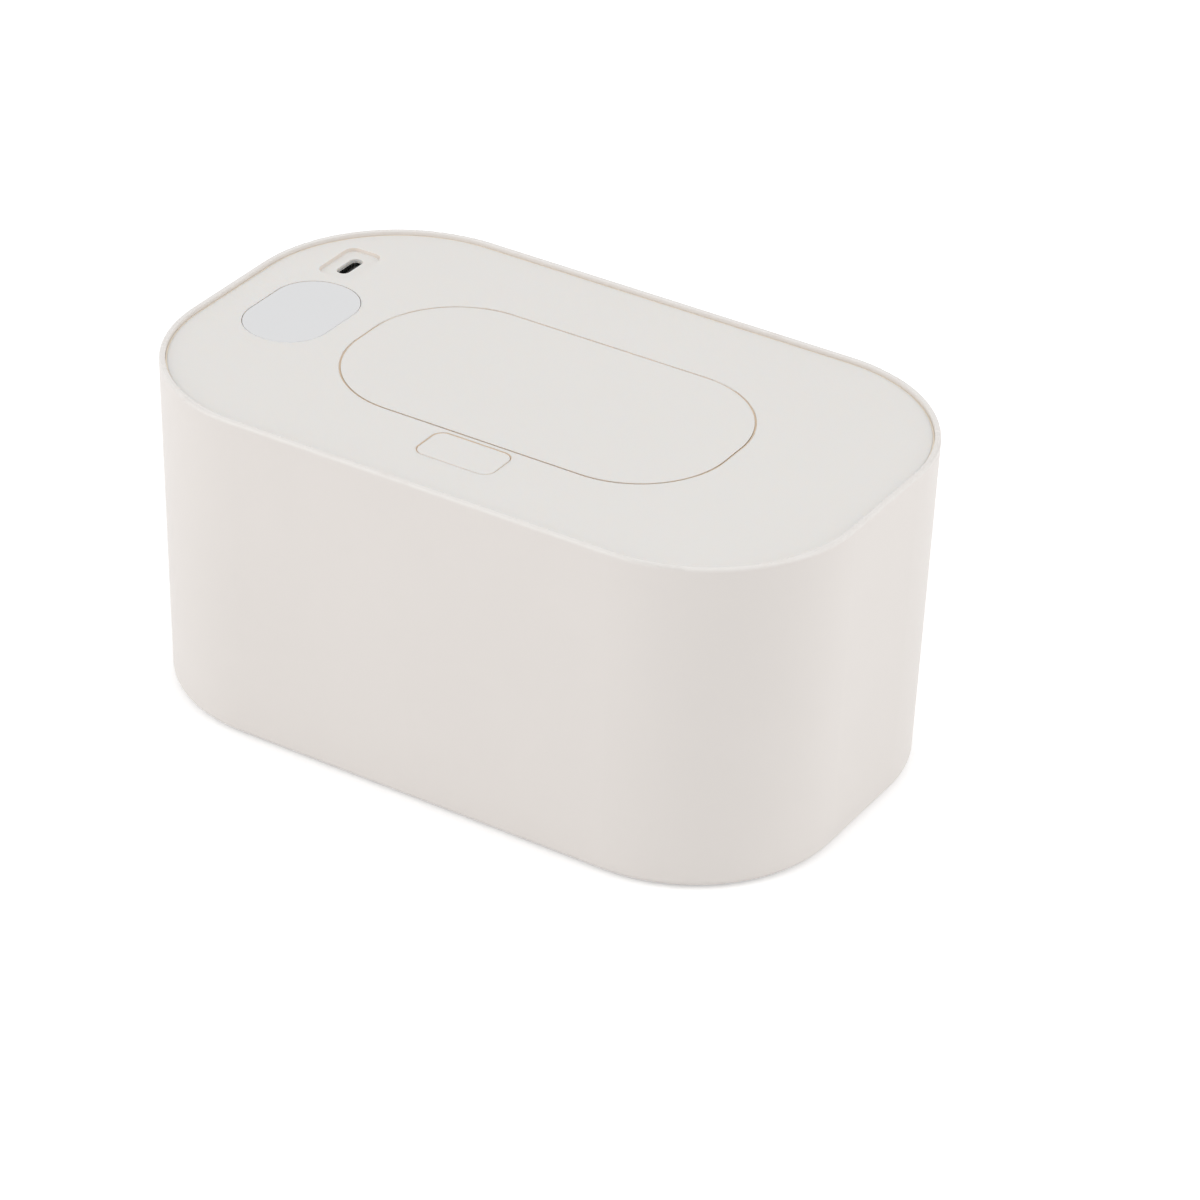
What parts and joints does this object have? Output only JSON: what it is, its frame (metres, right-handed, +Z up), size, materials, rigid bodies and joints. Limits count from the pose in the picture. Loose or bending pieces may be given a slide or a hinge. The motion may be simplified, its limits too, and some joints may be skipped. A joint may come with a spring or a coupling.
{
  "type": "baby wipe warmer",
  "caption": "Rounded oblong wipe warmer: open box with a tub, and a heated lift-off lid that dispenses through a latched flip lid beside a display window.",
  "frame": {"origin": "centre of the outer box's footprint on the table", "axes": "+X along the length, away from the display and socket end; +Y from the front with the push button to the back with the hinge; +Z up"},
  "size_m": [0.2, 0.12, 0.095],
  "materials": {
    "shell_plastic": "satin warm white ABS",
    "cover_plastic": "satin warm white ABS",
    "liner_plastic": "fine matt white polypropylene",
    "window_acrylic": "pale blue-grey smooth window",
    "foot_rubber": "matt grey rubber",
    "seal_silicone": "translucent silicone",
    "slider_plastic": "natural acetal",
    "pan_aluminium": "anodised sheet",
    "zinc_steel": "zinc plated",
    "spring_steel": "bright drawn wire",
    "socket_steel": "nickel plated stamping",
    "film_polyimide": "amber film",
    "pad_felt": "pressed fibre",
    "pad_foam": "conductive foam",
    "part_black": "black moulding",
    "board_green": "solder mask",
    "connector_plastic": "natural nylon",
    "lead_red": "silicone insulation",
    "lead_white": "thin insulation"
  },
  "bodies": {
    "base": {"base_shell": "shell_plastic", "wipe_tub": "liner_plastic", "tub_screws": "zinc_steel", "foot_front_left": "foot_rubber", "foot_front_right": "foot_rubber", "foot_rear_left": "foot_rubber", "foot_rear_right": "foot_rubber"},
    "lid": {"top_cover": "cover_plastic", "lid_underside": "liner_plastic", "lid_gasket": "seal_silicone", "cover_screws": "zinc_steel", "display_window": "window_acrylic", "hinge_pin_left": "spring_steel", "hinge_pin_right": "spring_steel", "hinge_cover_left": "liner_plastic", "hinge_cover_right": "liner_plastic", "hinge_spring_left": "spring_steel", "hinge_spring_right": "spring_steel", "latch_bracket": "liner_plastic", "latch_screws": "zinc_steel", "latch_spring": "spring_steel", "heater_plate": "pan_aluminium", "heater_screws": "zinc_steel", "heating_film": "film_polyimide", "insulation_pad": "pad_felt", "thermal_fuse": "part_black", "thermistor": "part_black", "control_board": "board_green", "board_screws": "zinc_steel", "board_parts": "part_black", "usb_socket": "socket_steel", "usb_tongue": "part_black", "display_module": "part_black", "touch_pad_front": "pad_foam", "touch_pad_rear": "pad_foam", "lead_connector": "connector_plastic", "lead_grommet": "seal_silicone", "heater_leads": "lead_red", "sensor_leads": "lead_white"},
    "flip_lid": {"flip_lid_shell": "cover_plastic", "flip_lid_liner": "liner_plastic", "flip_seal": "seal_silicone"},
    "latch_button": {"latch_button": "cover_plastic"},
    "latch_slider": {"latch_slider": "slider_plastic"}
  },
  "joints": [
    {"name": "lid_lift", "type": "slide", "parent": "base", "child": "lid", "axis": [0, 0, 1], "range_m": [0, 0.06]},
    {"name": "flip_lid_hinge", "type": "hinge", "parent": "lid", "child": "flip_lid", "pos_m": [0, 0.037, 0.0894], "axis": [-1, 0, 0], "range_deg": [0, 100]},
    {"name": "button_press", "type": "slide", "parent": "lid", "child": "latch_button", "axis": [0, 0, -1], "range_m": [0, 0.0015], "stiffness_N_per_m": 600, "deforming": ["latch_spring"]},
    {"name": "slider_draw", "type": "slide", "parent": "lid", "child": "latch_slider", "axis": [0, -1, 0], "range_m": [0, 0.0015]}
  ],
  "couplings": [
    {"joint": "slider_draw", "follows": "button_press", "ratio": 1}
  ]
}
